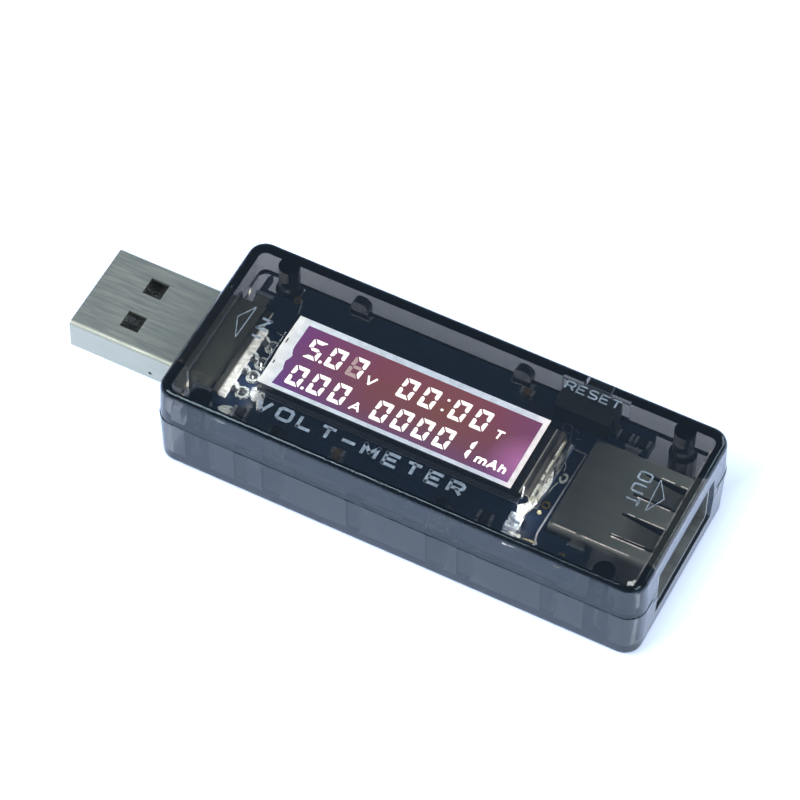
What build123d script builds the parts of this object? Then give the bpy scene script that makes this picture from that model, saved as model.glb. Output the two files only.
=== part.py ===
"""In-line USB power meter: a plug at one end, a socket at the other and a backlit display between them.

The frame: +X runs from the plug to the socket, +Y points to the side with the reset button, +Z is up.
The origin is the centre of the case's underside. All sizes are in millimetres.
"""

import os

from build123d import *

# ---- Case ----
CASE_LENGTH = 59.2
CASE_WIDTH = 24.5
CASE_HEIGHT = 12.8
SEAM_Z = 7.5
CORNER_RADIUS = 2.3
WALL = 1.3
SEAM_STEP = 0.05
TOP_DRAFT = 2.2
BOTTOM_DRAFT = 1.6
TOP_EDGE_RADIUS = 0.9
BOTTOM_EDGE_RADIUS = 1.0
SEAM_CHAMFER = 0.03

# ---- Connectors ----
CONNECTOR_Z = 6.6
PLUG_REACH = 14.0
PLUG_WIDTH = 12.0
PLUG_HEIGHT = 4.5
SHEET = 0.3
SOCKET_WIDTH = 13.1
SOCKET_HEIGHT = 5.7
SOCKET_LENGTH = 13.3
CONTACT_WIDTH = 1.0
CONTACT_THICK = 0.25
CONTACT_ROWS = (-3.5, -1.0, 1.0, 3.5)
APERTURE_GAP = 0.25
PIN_SHIFT = -2.3

# ---- Board ----
BOARD_TOP = 8.5
BOARD_THICK = 1.2
BOARD_WIDTH = 20.9
BOARD_LEFT = -26.9
BOARD_RIGHT = 21.3
PIN_COLUMN_X = 24.4
PIN_COLUMN_Y = 10.3

# ---- Display ----
DISPLAY_LEFT = -20.2
DISPLAY_RIGHT = 10.7
DISPLAY_WIDTH = 10.2
DISPLAY_Y = 0.1
LEDGE = 1.5
GLASS = 0.45
FILM = 0.15
GUIDE_THICK = 0.9

# ---- Reset switch ----
SWITCH_X = 13.4
SWITCH_WIDTH = 6.6
SWITCH_DEPTH = 3.4
SWITCH_HEIGHT = 2.7
SWITCH_FRONT = 10.6
KNOB_WIDTH = 2.8
KNOB_HEIGHT = 1.3
KNOB_REACH = 0.45
SLIP = 0.08
WINDOW_WIDTH = 3.4
RECESS_WIDTH = 8.2
RECESS_DEPTH = 0.3

# ---- Derived places ----
CASE_END = CASE_LENGTH / 2
CASE_SIDE = CASE_WIDTH / 2
ROOF_Z = CASE_HEIGHT - WALL
BOARD_BOTTOM = BOARD_TOP - BOARD_THICK
PLUG_TIP = -CASE_END - PLUG_REACH
PLUG_REAR = -24.9
SOCKET_MOUTH = CASE_END - 0.4
SOCKET_REAR = SOCKET_MOUTH - SOCKET_LENGTH
CORNERS = [(x, y) for x in (-PIN_COLUMN_X, PIN_COLUMN_X) for y in (-PIN_COLUMN_Y, PIN_COLUMN_Y)]

# ---- Case fittings ----
COLUMN_RADIUS = 1.6
PAD_RADIUS = 1.25
PIN_RADIUS = 0.7
PIN_LENGTH = 3.0
PIN_FIT = 0.02
LEDGE_WIDTH = 1.6
LEDGE_REACH = 1.4
LEDGE_PLACES = (-19.0, -5.0, 8.5, 18.6)
TAB_WIDTH = 2.2
TAB_THICK = 1.1
TAB_GAP = 0.3
TAB_PLACES = (-15.2, 5.0)
TAB_OUTER_Y = CASE_SIDE - SEAM_STEP - WALL - TAB_GAP
TAB_INNER_Y = TAB_OUTER_Y - TAB_THICK
TAB_HEAD_Z = ROOF_Z - 1.5
# How far a fitting is sunk into the wall or the floor that carries it.
ROOT = 0.3

os.makedirs("parts", exist_ok=True)


def save(builder, name):
    """Label a finished piece and write it."""
    builder.part.label = name
    export_step(builder.part, f"parts/{name}.step")


def block(x, y, z, mode=Mode.ADD):
    """A box between three (low, high) pairs."""
    with Locations(((x[0] + x[1]) / 2, (y[0] + y[1]) / 2, (z[0] + z[1]) / 2)):
        Box(x[1] - x[0], y[1] - y[0], z[1] - z[0], mode=mode)


def end_plane(x):
    """A sketch plane across the length: its x is the part's +Y and its y is +Z."""
    return Plane(origin=(x, 0, CONNECTOR_Z), x_dir=(0, 1, 0), z_dir=(1, 0, 0))


def around(centre, size):
    """The (low, high) pair of a span of that size about a centre."""
    return (centre - size / 2, centre + size / 2)


# ---------------------------------------------------------------- case

TONGUE_HALF = 8.3
PLUG_HOLE = (PLUG_WIDTH + 2 * APERTURE_GAP, PLUG_HEIGHT + 2 * APERTURE_GAP)
SOCKET_HOLE = (SOCKET_WIDTH + 2 * APERTURE_GAP, SOCKET_HEIGHT + 2 * APERTURE_GAP)


def cut_connector_holes():
    """The openings in the two end walls, with a small bevel outside the socket's."""
    for end, (width, height) in ((-CASE_END, PLUG_HOLE), (CASE_END, SOCKET_HOLE)):
        block(around(end, 4 * WALL), around(0, width), around(CONNECTOR_Z, height), Mode.SUBTRACT)
    with BuildSketch(end_plane(CASE_END + 0.01)) as outer:
        Rectangle(SOCKET_HOLE[0] + 0.9, SOCKET_HOLE[1] + 0.9)
    with BuildSketch(end_plane(CASE_END - 0.5)) as inner:
        Rectangle(*SOCKET_HOLE)
    loft([outer.sketch.face(), inner.sketch.face()], mode=Mode.SUBTRACT)


with BuildPart() as top_cover:
    with BuildSketch(Plane.XY.offset(SEAM_Z)):
        RectangleRounded(CASE_LENGTH - 2 * SEAM_STEP, CASE_WIDTH - 2 * SEAM_STEP, CORNER_RADIUS)
    extrude(amount=CASE_HEIGHT - SEAM_Z, taper=TOP_DRAFT)
    fillet(top_cover.faces().sort_by(Axis.Z)[-1].edges(), TOP_EDGE_RADIUS)
    chamfer(top_cover.faces().sort_by(Axis.Z)[0].edges(), SEAM_CHAMFER)
    with BuildSketch(Plane.XY.offset(SEAM_Z)):
        inner = CASE_LENGTH - 2 * SEAM_STEP - 2 * WALL, CASE_WIDTH - 2 * SEAM_STEP - 2 * WALL
        RectangleRounded(*inner, CORNER_RADIUS - WALL)
    extrude(amount=ROOF_Z - SEAM_Z, taper=TOP_DRAFT, mode=Mode.SUBTRACT)
    # End walls reach down to the middle of the connectors.
    for side in (-1, 1):
        wall_x = sorted((side * (CASE_END - SEAM_STEP - WALL), side * (CASE_END - SEAM_STEP)))
        block(wall_x, (-TONGUE_HALF, TONGUE_HALF), (CONNECTOR_Z, SEAM_Z + 0.3))
    cut_connector_holes()
    # Pins that press into the bottom cover, each on a round pad against the side wall.
    with BuildSketch(Plane.XY.offset(SEAM_Z + 0.3)):
        with Locations(*CORNERS):
            Circle(PAD_RADIUS)
    extrude(amount=ROOF_Z - SEAM_Z)
    with BuildSketch(Plane.XY.offset(SEAM_Z - PIN_LENGTH)):
        with Locations(*CORNERS):
            Circle(PIN_RADIUS)
    extrude(amount=PIN_LENGTH + 2 * ROOT)
    # Window for the reset button, open at the seam, in a wider recess that thins the wall round it.
    recess_z = (SEAM_Z - 1, BOARD_TOP + SWITCH_HEIGHT - 0.1)
    recess_y = (CASE_SIDE - WALL - 1, CASE_SIDE - SEAM_STEP - WALL + RECESS_DEPTH)
    window_z = (SEAM_Z - 1, BOARD_TOP + SWITCH_HEIGHT / 2 + KNOB_HEIGHT / 2 + 0.35)
    block(around(SWITCH_X, RECESS_WIDTH), recess_y, recess_z, Mode.SUBTRACT)
    block(around(SWITCH_X, WINDOW_WIDTH), (recess_y[0], CASE_SIDE + 1), window_z, Mode.SUBTRACT)
save(top_cover, "top_cover")

with BuildPart() as bottom_cover:
    with BuildSketch(Plane.XY.offset(SEAM_Z)):
        RectangleRounded(CASE_LENGTH, CASE_WIDTH, CORNER_RADIUS)
    extrude(amount=-SEAM_Z, taper=BOTTOM_DRAFT)
    fillet(bottom_cover.faces().sort_by(Axis.Z)[0].edges(), BOTTOM_EDGE_RADIUS)
    with BuildSketch(Plane.XY.offset(SEAM_Z)):
        RectangleRounded(CASE_LENGTH - 2 * WALL, CASE_WIDTH - 2 * WALL, CORNER_RADIUS - WALL)
    extrude(amount=WALL - SEAM_Z, taper=BOTTOM_DRAFT, mode=Mode.SUBTRACT)
    # Corner columns that take the top cover's pins.
    with BuildSketch(Plane.XY.offset(WALL - 0.2)):
        with Locations(*CORNERS):
            Circle(COLUMN_RADIUS)
    extrude(amount=SEAM_Z - WALL + 0.1)
    # Ledges that carry the board.
    for side in (-1, 1):
        ledge_y = sorted((side * (CASE_SIDE - WALL - LEDGE_REACH), side * (CASE_SIDE - WALL + ROOT)))
        for x in LEDGE_PLACES:
            block(around(x, LEDGE_WIDTH), ledge_y, (WALL - 0.2, BOARD_BOTTOM))
    # Round-headed tabs that reach up beside the board and locate the top cover.
    for side in (-1, 1):
        tab_y = sorted((side * TAB_INNER_Y, side * TAB_OUTER_Y))
        root_y = sorted((side * TAB_INNER_Y, side * (CASE_SIDE - WALL + ROOT)))
        for x in TAB_PLACES:
            block(around(x, TAB_WIDTH), tab_y, (WALL - 0.2, TAB_HEAD_Z))
            block(around(x, TAB_WIDTH), root_y, (WALL - 0.2, SEAM_Z - ROOT))
            with BuildSketch(Plane(origin=(x, tab_y[0], TAB_HEAD_Z), x_dir=(1, 0, 0), z_dir=(0, 1, 0))):
                Circle(TAB_WIDTH / 2)
            extrude(amount=TAB_THICK)
    # Room for the end walls of the top cover, then the connector openings.
    for side in (-1, 1):
        wall_x = sorted((side * (CASE_END - WALL - 1.0), side * (CASE_END + 1)))
        block(wall_x, around(0, 2 * TONGUE_HALF + 0.1), (CONNECTOR_Z - 0.05, SEAM_Z + 1), Mode.SUBTRACT)
    cut_connector_holes()
    with Locations(*[(x, y, SEAM_Z - 0.1) for x, y in CORNERS]):
        Hole(PIN_RADIUS + PIN_FIT, depth=PIN_LENGTH + 1)
save(bottom_cover, "bottom_cover")


# ---------------------------------------------------------------- board

# Where the plug's pins go through the board.
PIN_X = -21.75
PIN_ROWS = [y + PIN_SHIFT for y in CONTACT_ROWS]
PIN_HOLE_RADIUS = 0.42
VIA_PLACES = ((14.45, -3.7), (-22.4, 8.4), (18.8, -9.0))
VIA_RADIUS = 0.25

with BuildPart() as circuit_board:
    with BuildSketch(Plane.XY.offset(BOARD_BOTTOM)):
        with Locations(((BOARD_LEFT + BOARD_RIGHT) / 2, 0)):
            RectangleRounded(BOARD_RIGHT - BOARD_LEFT, BOARD_WIDTH, 0.8)
        # Slots for the connectors.
        with Locations((BOARD_LEFT, 0)):
            Rectangle(2 * (PLUG_REAR + 1.0 - BOARD_LEFT), PLUG_WIDTH + 0.8, mode=Mode.SUBTRACT)
        with Locations((BOARD_RIGHT, 0)):
            Rectangle(2 * (BOARD_RIGHT - SOCKET_REAR + 0.3), SOCKET_WIDTH + 0.6, mode=Mode.SUBTRACT)
        # Notches round the corner columns and the locating tabs.
        for side in (-1, 1):
            with Locations((-PIN_COLUMN_X, side * (PIN_COLUMN_Y + 1))):
                RectangleRounded(4.2, 6.2, 0.6, mode=Mode.SUBTRACT)
            notch_depth = BOARD_WIDTH - 2 * TAB_INNER_Y + 0.4
            with Locations(*[(x, side * BOARD_WIDTH / 2) for x in TAB_PLACES]):
                RectangleRounded(TAB_WIDTH + 0.6, notch_depth, 0.3, mode=Mode.SUBTRACT)
    extrude(amount=BOARD_THICK)
    with Locations(*[(PIN_X, y, BOARD_TOP) for y in PIN_ROWS]):
        Hole(PIN_HOLE_RADIUS)
    with Locations(*[(x, y, BOARD_TOP) for x, y in VIA_PLACES]):
        Hole(VIA_RADIUS)
save(circuit_board, "circuit_board")

with BuildPart() as via_rings:
    with BuildSketch(Plane.XY.offset(BOARD_TOP)):
        with Locations(*VIA_PLACES):
            Circle(2 * VIA_RADIUS)
            Circle(VIA_RADIUS, mode=Mode.SUBTRACT)
    extrude(amount=0.05)
save(via_rings, "via_rings")

# ---------------------------------------------------------------- plug


def sheet_tube(x_low, x_high, width, height, corner):
    """A rectangular tube of folded sheet along the length."""
    with BuildSketch(end_plane(x_low)) as profile:
        RectangleRounded(width, height, corner)
        RectangleRounded(width - 2 * SHEET, height - 2 * SHEET, corner - SHEET + 0.05, mode=Mode.SUBTRACT)
    extrude(profile.sketch, amount=x_high - x_low)


def side_wings(x, half_width, reach):
    """Bent-out tabs of a shell that lie on the board and are soldered to it."""
    for side in (-1, 1):
        wing_y = sorted((side * (half_width - SHEET), side * (half_width + reach)))
        block(around(x, 1.6), wing_y, (BOARD_TOP, BOARD_TOP + SHEET))


with BuildPart() as plug_shell:
    sheet_tube(PLUG_TIP, PLUG_REAR, PLUG_WIDTH, PLUG_HEIGHT, 0.6)
    # Square latch holes in both faces and small ones in the sides.
    with Locations(*[(PLUG_TIP + 6.3, y, CONNECTOR_Z) for y in (-2.6, 2.6)]):
        Box(2.3, 2.3, PLUG_HEIGHT + 1, mode=Mode.SUBTRACT)
    with Locations(*[(PLUG_TIP + x, 0, CONNECTOR_Z - 0.9) for x in (10.2, 12.6)]):
        Cylinder(0.22, PLUG_WIDTH + 1, rotation=(90, 0, 0), mode=Mode.SUBTRACT)
    side_wings(PLUG_REAR - 1.0, PLUG_WIDTH / 2, 0.9)
save(plug_shell, "plug_shell")

PLUG_FLOOR = CONNECTOR_Z - PLUG_HEIGHT / 2 + SHEET
PLUG_ROOF = CONNECTOR_Z + PLUG_HEIGHT / 2 - SHEET
PLUG_BED = PLUG_FLOOR + 1.9
PLUG_SIDES = around(0, PLUG_WIDTH - 2 * SHEET - 0.06)
BACK_BLOCK_X = (PLUG_REAR + 0.15, PLUG_REAR + 0.9)
BACK_BLOCK_Y = (-6.3, PLUG_SIDES[1])
BAR_X = (BACK_BLOCK_X[0], PLUG_REAR + 1.75)
BAR_Y = (-7.2, 2.9)
BAR_TOP = BOARD_TOP + 0.55
RISER_X = PLUG_REAR + 0.6
RISER_WIDTH = 0.6
BEND_X = PLUG_REAR - 1.1
BEND_WIDTH = 0.9
LEG_Z = (BOARD_TOP + 0.12, BOARD_TOP + 0.12 + CONTACT_THICK)

# Contact strips. Inside the insulator each one turns aside and rises to the level of the board.
# From there it runs out over the board to a pin that goes down through it.
with BuildPart() as plug_contacts:
    for y in CONTACT_ROWS:
        strip_z = (PLUG_BED - CONTACT_THICK, PLUG_BED)
        block((PLUG_TIP + 1.2, BEND_X), around(y, BEND_WIDTH), strip_z)
        with BuildSketch(Plane.XY.offset(strip_z[0])):
            with BuildLine():
                Polyline(
                    (BEND_X, y - BEND_WIDTH / 2),
                    (RISER_X, y + PIN_SHIFT - BEND_WIDTH / 2),
                    (RISER_X, y + PIN_SHIFT + BEND_WIDTH / 2),
                    (BEND_X, y + BEND_WIDTH / 2),
                    close=True,
                )
            make_face()
        extrude(amount=CONTACT_THICK)
        leg_y = around(y + PIN_SHIFT, RISER_WIDTH)
        block((RISER_X - CONTACT_THICK, RISER_X), leg_y, (strip_z[0], LEG_Z[1]))
        block((RISER_X, PIN_X + CONTACT_THICK / 2), leg_y, LEG_Z)
        block(around(PIN_X, CONTACT_THICK), leg_y, (BOARD_BOTTOM - 0.5, LEG_Z[1]))
save(plug_contacts, "plug_contacts")

# The plug's plastic core, with a block behind the shell and a flat bar that lies on the board.
with BuildPart() as plug_insulator:
    with BuildSketch(end_plane(PLUG_TIP + 0.3)):
        RectangleRounded(PLUG_SIDES[1] - PLUG_SIDES[0], PLUG_ROOF - PLUG_FLOOR, 0.4)
    extrude(amount=BACK_BLOCK_X[1] - PLUG_TIP - 0.3)
    block((PLUG_TIP, PLUG_REAR - 1.2), around(0, PLUG_WIDTH), (PLUG_BED, PLUG_ROOF + 1), Mode.SUBTRACT)
    block(BACK_BLOCK_X, BACK_BLOCK_Y, (PLUG_FLOOR, PLUG_ROOF))
    block(BACK_BLOCK_X, (BACK_BLOCK_Y[0], BAR_Y[1]), (PLUG_FLOOR, BAR_TOP))
    block(BAR_X, BAR_Y, (BOARD_TOP, BAR_TOP))
    add(plug_contacts.part, mode=Mode.SUBTRACT)
save(plug_insulator, "plug_insulator")

with BuildPart() as plug_joints:
    with BuildSketch(Plane.XY.offset(BOARD_TOP)):
        with Locations(*[(PIN_X, y) for y in PIN_ROWS]):
            Circle(0.85)
    extrude(amount=0.7, taper=38)
    add(plug_contacts.part, mode=Mode.SUBTRACT)
    for side in (-1, 1):
        pad_y = sorted((side * (PLUG_WIDTH / 2 + 0.95), side * (PLUG_WIDTH / 2 + 1.5)))
        block(around(PLUG_REAR - 1.0, 2.2), pad_y, (BOARD_TOP, BOARD_TOP + 0.35))
save(plug_joints, "plug_joints")

# ---------------------------------------------------------------- socket

SOCKET_FLOOR = CONNECTOR_Z - SOCKET_HEIGHT / 2 + SHEET
SOCKET_ROOF = CONNECTOR_Z + SOCKET_HEIGHT / 2 - SHEET
TONGUE_Z = (PLUG_BED + 0.12, PLUG_ROOF - 0.05)
FINGER_X = SOCKET_MOUTH - 6.8
FINGER_Y = 2.95
FINGER_LENGTH = 5.2
FINGER_ROOT_WIDTH = 2.7
FINGER_TIP_WIDTH = 2.0
FINGER_DIP = 0.45
SLIT = 0.35
SOCKET_WING_X = SOCKET_REAR + 3.8

# A spring finger of the upper face: rooted towards the rear, bent inwards, its tip turned up and free.
with BuildPart() as spring_finger:
    with BuildSketch(Plane(origin=(0, -FINGER_ROOT_WIDTH / 2, 0), x_dir=(1, 0, 0), z_dir=(0, -1, 0))):
        with BuildLine():
            Polyline(
                (0, SOCKET_ROOF),
                (FINGER_LENGTH - 2 * SLIT, SOCKET_ROOF - FINGER_DIP),
                (FINGER_LENGTH, SOCKET_ROOF - FINGER_DIP / 2),
                (FINGER_LENGTH, SOCKET_ROOF - FINGER_DIP / 2 + SHEET),
                (FINGER_LENGTH - 2 * SLIT, SOCKET_ROOF - FINGER_DIP + SHEET),
                (0, SOCKET_ROOF + SHEET),
                close=True,
            )
        make_face()
    extrude(amount=-FINGER_ROOT_WIDTH)
    with BuildSketch(Plane.XY.offset(SOCKET_ROOF - 1)):
        with BuildLine():
            Polyline(
                (0, FINGER_ROOT_WIDTH / 2),
                (FINGER_LENGTH, FINGER_TIP_WIDTH / 2),
                (FINGER_LENGTH, -FINGER_TIP_WIDTH / 2),
                (0, -FINGER_ROOT_WIDTH / 2),
                close=True,
            )
        make_face()
    extrude(amount=2, mode=Mode.INTERSECT)

with BuildPart() as socket_shell:
    sheet_tube(SOCKET_REAR, SOCKET_MOUTH, SOCKET_WIDTH, SOCKET_HEIGHT, 0.7)
    # Openings in the upper and the lower face, each filled by a spring finger.
    opening_x = (FINGER_X, FINGER_X + FINGER_LENGTH + SLIT)
    for face_z in (SOCKET_FLOOR - SHEET / 2, SOCKET_ROOF + SHEET / 2):
        for y in (-FINGER_Y, FINGER_Y):
            opening_y = around(y, FINGER_ROOT_WIDTH + 2 * SLIT)
            block(opening_x, opening_y, around(face_z, 4 * SHEET), Mode.SUBTRACT)
    with Locations((FINGER_X, -FINGER_Y, 0), (FINGER_X, FINGER_Y, 0)):
        add(spring_finger.part)
        add(spring_finger.part.mirror(Plane.XY.offset(CONNECTOR_Z)))
    side_wings(SOCKET_WING_X, SOCKET_WIDTH / 2, 0.55)
save(socket_shell, "socket_shell")

SOCKET_SIDES = around(0, SOCKET_WIDTH - 2 * SHEET - 0.1)
SOCKET_BLOCK_X = (SOCKET_REAR + 0.2, SOCKET_REAR + 3.6)

with BuildPart() as socket_insulator:
    block(SOCKET_BLOCK_X, SOCKET_SIDES, (SOCKET_FLOOR + 0.02, SOCKET_ROOF - 0.02))
    fillet(socket_insulator.edges().filter_by(Axis.X), 0.45)
    block((SOCKET_BLOCK_X[1] - 0.5, SOCKET_MOUTH - 1.3), around(0, 11.1), TONGUE_Z)
    chamfer(socket_insulator.faces().sort_by(Axis.X)[-1].edges(), 0.3)
    for y in CONTACT_ROWS:
        groove_z = (TONGUE_Z[0], TONGUE_Z[0] + CONTACT_THICK)
        block((SOCKET_REAR, SOCKET_MOUTH - 2.0), around(y, CONTACT_WIDTH), groove_z, Mode.SUBTRACT)
save(socket_insulator, "socket_insulator")

with BuildPart() as socket_contacts:
    for y in CONTACT_ROWS:
        strip_z = (TONGUE_Z[0], TONGUE_Z[0] + CONTACT_THICK)
        block((SOCKET_REAR - 0.1, SOCKET_MOUTH - 2.0), around(y, CONTACT_WIDTH), strip_z)
        block((SOCKET_REAR - 0.35, SOCKET_REAR - 0.1), around(y, 0.7), (strip_z[0], BOARD_BOTTOM))
        foot_z = (BOARD_BOTTOM - CONTACT_THICK, BOARD_BOTTOM)
        block((SOCKET_REAR - 2.1, SOCKET_REAR - 0.1), around(y, 0.7), foot_z)
save(socket_contacts, "socket_contacts")

with BuildPart() as socket_joints:
    for side in (-1, 1):
        pad_y = sorted((side * (SOCKET_WIDTH / 2 + 0.58), side * (SOCKET_WIDTH / 2 + 0.95)))
        block(around(SOCKET_WING_X, 2.0), pad_y, (BOARD_TOP, BOARD_TOP + 0.35))
    for y in CONTACT_ROWS:
        block((SOCKET_REAR - 2.6, SOCKET_REAR - 2.15), around(y, 0.9), (BOARD_BOTTOM - 0.35, BOARD_BOTTOM))
save(socket_joints, "socket_joints")

# ---------------------------------------------------------------- display

REFLECTOR_Z = (BOARD_TOP + 0.05, BOARD_TOP + 0.15)
GUIDE_Z = (REFLECTOR_Z[1], REFLECTOR_Z[1] + GUIDE_THICK)
REAR_FILM_Z = (GUIDE_Z[1], GUIDE_Z[1] + FILM)
REAR_GLASS_Z = (REAR_FILM_Z[1], REAR_FILM_Z[1] + GLASS)
FRONT_GLASS_Z = (REAR_GLASS_Z[1], REAR_GLASS_Z[1] + GLASS)
FRONT_FILM_Z = (FRONT_GLASS_Z[1], FRONT_GLASS_Z[1] + FILM)
DISPLAY_X = (DISPLAY_LEFT, DISPLAY_RIGHT)
GLASS_Y = around(DISPLAY_Y, DISPLAY_WIDTH)
FILM_X = (DISPLAY_LEFT + 1.3, DISPLAY_RIGHT - 0.65)
FILM_Y = around(DISPLAY_Y - 0.1, 8.85)
GUIDE_X = (DISPLAY_LEFT - 0.2, DISPLAY_RIGHT + 0.9)

layers = {
    "backlight_reflector": (GUIDE_X, GLASS_Y, REFLECTOR_Z),
    "light_guide": (GUIDE_X, GLASS_Y, GUIDE_Z),
    "rear_polariser": (FILM_X, FILM_Y, REAR_FILM_Z),
    "rear_glass": ((DISPLAY_LEFT, DISPLAY_RIGHT + LEDGE), GLASS_Y, REAR_GLASS_Z),
    "front_glass": (DISPLAY_X, GLASS_Y, FRONT_GLASS_Z),
    "front_polariser": (FILM_X, FILM_Y, FRONT_FILM_Z),
}
for layer_name, (layer_x, layer_y, layer_z) in layers.items():
    with BuildPart() as layer:
        block(layer_x, layer_y, layer_z)
    save(layer, layer_name)

# The bead of cured adhesive that closes the filling port at the left end of the two glasses.
with BuildPart() as glass_seal:
    with BuildSketch(Plane.XY.offset(REAR_GLASS_Z[0])):
        with Locations((DISPLAY_LEFT - 0.3, DISPLAY_Y)):
            RectangleRounded(0.6, 5.4, 0.25)
    extrude(amount=2 * GLASS)
save(glass_seal, "glass_seal")

# Flexible film connector: bonded on the ledge of the rear glass, bent over and down to the board.
FLEX_THICK = 0.1
FLEX_BEND = DISPLAY_RIGHT + LEDGE + 0.55
FLEX_END = 13.8
FLEX_TOP = REAR_GLASS_Z[1] + FLEX_THICK / 2
with BuildPart() as display_flex:
    with BuildSketch(Plane(origin=(0, GLASS_Y[0] + 0.4, 0), x_dir=(1, 0, 0), z_dir=(0, -1, 0))):
        with BuildLine():
            FilletPolyline(
                (DISPLAY_RIGHT + 0.1, FLEX_TOP),
                (FLEX_BEND, FLEX_TOP),
                (FLEX_BEND, BOARD_TOP + FLEX_THICK / 2),
                (FLEX_END, BOARD_TOP + FLEX_THICK / 2),
                radius=0.5,
            )
            offset(amount=FLEX_THICK / 2, side=Side.BOTH)
        make_face()
    extrude(amount=-(DISPLAY_WIDTH - 0.8))
save(display_flex, "display_flex")

with BuildPart() as backlight_leds:
    for y in (-6.9, -8.2):
        block(around(12.4, 1.5), around(y, 0.9), (BOARD_TOP, BOARD_TOP + 0.6))
save(backlight_leds, "backlight_leds")

# ---------------------------------------------------------------- reset switch

SWITCH_REAR = SWITCH_FRONT - SWITCH_DEPTH
SWITCH_TOP = BOARD_TOP + SWITCH_HEIGHT
KNOB_Z = BOARD_TOP + SWITCH_HEIGHT / 2
CHAMBER_Y = (SWITCH_REAR + 0.5, SWITCH_FRONT - 0.7)
COLLAR_WIDTH = KNOB_WIDTH + 0.9
DOME_HEIGHT = 0.45
DOME_RADIUS = 0.85
DOME_THICK = 0.08
DOME_BALL = (DOME_RADIUS**2 + DOME_HEIGHT**2) / (2 * DOME_HEIGHT)

with BuildPart() as switch_body:
    block(around(SWITCH_X, SWITCH_WIDTH), (SWITCH_REAR, SWITCH_FRONT), (BOARD_TOP, SWITCH_TOP - 0.2))
    chamber_z = (KNOB_Z - 0.95, SWITCH_TOP)
    block(around(SWITCH_X, COLLAR_WIDTH + 2 * SLIP), CHAMBER_Y, chamber_z, Mode.SUBTRACT)
    slot_z = (KNOB_Z - KNOB_HEIGHT / 2 - SLIP, SWITCH_TOP)
    slot_y = (CHAMBER_Y[1] - 0.1, SWITCH_FRONT + 1)
    block(around(SWITCH_X, KNOB_WIDTH + 2 * SLIP), slot_y, slot_z, Mode.SUBTRACT)
save(switch_body, "switch_body")

# Pressed cover over the switch, with a foot soldered to the board at each side.
with BuildPart() as switch_plate:
    block(around(SWITCH_X, SWITCH_WIDTH), (SWITCH_REAR, SWITCH_FRONT), (SWITCH_TOP - 0.2, SWITCH_TOP))
    for side in (-1, 1):
        leg_x = sorted((SWITCH_X + side * SWITCH_WIDTH / 2, SWITCH_X + side * (SWITCH_WIDTH / 2 + 0.2)))
        foot_x = sorted((SWITCH_X + side * SWITCH_WIDTH / 2, SWITCH_X + side * (SWITCH_WIDTH / 2 + 0.5)))
        leg_y = around((SWITCH_REAR + SWITCH_FRONT) / 2, 1.4)
        block(leg_x, leg_y, (BOARD_TOP, SWITCH_TOP))
        block(foot_x, leg_y, (BOARD_TOP, BOARD_TOP + 0.2))
save(switch_plate, "switch_plate")

COLLAR_Y = (CHAMBER_Y[1] - 0.75, CHAMBER_Y[1] - 0.02)
with BuildPart() as switch_knob:
    block(around(SWITCH_X, COLLAR_WIDTH), COLLAR_Y, around(KNOB_Z, 1.6))
    block(around(SWITCH_X, KNOB_WIDTH), (COLLAR_Y[0], CASE_SIDE + KNOB_REACH), around(KNOB_Z, KNOB_HEIGHT))
    fillet(switch_knob.faces().sort_by(Axis.Y)[-1].edges(), 0.2)
    block(around(SWITCH_X, 0.9), (CHAMBER_Y[0] + DOME_HEIGHT + 0.03, COLLAR_Y[0]), around(KNOB_Z, 0.7))
save(switch_knob, "switch_knob")

# Snap dome: a thin spherical cap between the rear wall of the chamber and the knob.
with BuildPart() as switch_dome:
    with Locations((SWITCH_X, CHAMBER_Y[0] + DOME_HEIGHT - DOME_BALL, KNOB_Z)):
        Sphere(DOME_BALL)
        Sphere(DOME_BALL - DOME_THICK, mode=Mode.SUBTRACT)
    split(bisect_by=Plane(origin=(SWITCH_X, CHAMBER_Y[0], KNOB_Z), z_dir=(0, 1, 0)), keep=Keep.TOP)
save(switch_dome, "switch_dome")

# ---------------------------------------------------------------- components on the board

CAP_LENGTH = 0.32
LEAD_THICK = 0.15
LEAD_REACH = 0.95
CHIP_LIFT = 0.12

# Two-terminal chips: name -> (length, width, height), then (x, y) on the top and on the underside.
TWO_TERMINAL = {
    "chip_resistors": (
        (1.8, 1.1, 0.5),
        ((18.25, 8.4), (20.3, 8.4), (9.4, -8.3), (-20.6, -8.3)),
        ((-10.5, -6.4), (-7.5, -6.4), (-4.5, -6.4), (-1.5, 4.5), (2.0, 4.5), (12.0, 8.6), (-20.2, 0.0)),
    ),
    "chip_capacitors": (
        (1.6, 0.8, 0.8),
        ((6.2, 8.6), (-8.5, -8.3)),
        ((-12.0, 6.8), (-9.0, 6.8), (-6.0, 6.8), (12.2, -8.0), (15.0, -8.0), (-20.2, 3.0)),
    ),
    "shunt_resistor": ((6.3, 3.1, 0.6), (), ((6.8, -7.2),)),
    "reservoir_capacitor": ((3.5, 2.8, 1.9), (), ((-16.4, 4.6),)),
}

# Chips with two rows of leads, all on the underside: name -> size, (x, y), leads a side.
LEADED = {
    "controller_chip": ((7.4, 5.2, 1.5), (-7.6, 0.0), 10),
    "metering_chip": ((4.9, 3.9, 1.4), (8.0, 1.8), 4),
    "memory_chip": ((4.9, 3.9, 1.4), (0.8, -1.0), 4),
    "voltage_regulator": ((4.5, 2.5, 1.4), (-16.4, -3.4), 3),
}


def chip_spans(size, place, underside):
    """The x, y and z spans of a chip that stands on the board."""
    length, width, height = size
    z = (BOARD_BOTTOM - height, BOARD_BOTTOM) if underside else (BOARD_TOP, BOARD_TOP + height)
    return around(place[0], length), around(place[1], width), z


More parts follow.
